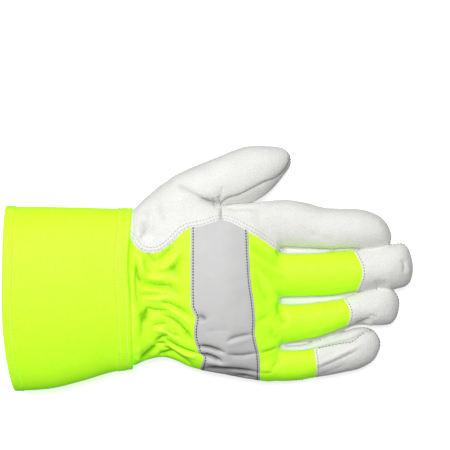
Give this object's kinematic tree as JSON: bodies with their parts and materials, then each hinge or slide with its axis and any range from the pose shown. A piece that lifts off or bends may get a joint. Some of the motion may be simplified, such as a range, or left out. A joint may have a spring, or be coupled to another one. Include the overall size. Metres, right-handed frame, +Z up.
{
  "type": "right-hand leather and high-visibility work glove with a gauntlet cuff",
  "caption": "Hollow right-hand work glove lying palm down: white leather palm, thumb and index finger, bright cloth back with a reflective band, flared gauntlet cuff.",
  "frame": {"origin": "under the middle of the glove's overall box, on the surface it lies on", "axes": "+X from the cuff to the fingertips, +Y to the thumb side, +Z up from the palm to the back of the hand"},
  "size_m": [0.3254, 0.1956, 0.0525],
  "materials": {
    "bright_cloth": "fluorescent yellow-green coated polyester, smooth with a faint sheen",
    "reflective_tape": "silver-grey glass-bead reflective tape",
    "white_leather": "soft white full-grain goatskin, fine grain, low sheen"
  },
  "bodies": {
    "root": {"cuff_hem": "bright_cloth", "cuff": "bright_cloth", "cuff_join_band": "bright_cloth", "back_fabric": "bright_cloth", "reflective_band": "reflective_tape", "thumb_back": "white_leather", "thumb_front": "white_leather", "index_back": "white_leather", "palm": "white_leather", "middle_tip": "white_leather", "ring_tip": "white_leather", "little_tip": "white_leather", "middle_front": "white_leather", "ring_front": "white_leather", "side_strip_index_middle": "white_leather", "side_strip_middle_ring": "white_leather", "side_strip_ring_little": "white_leather"}
  },
  "joints": []
}
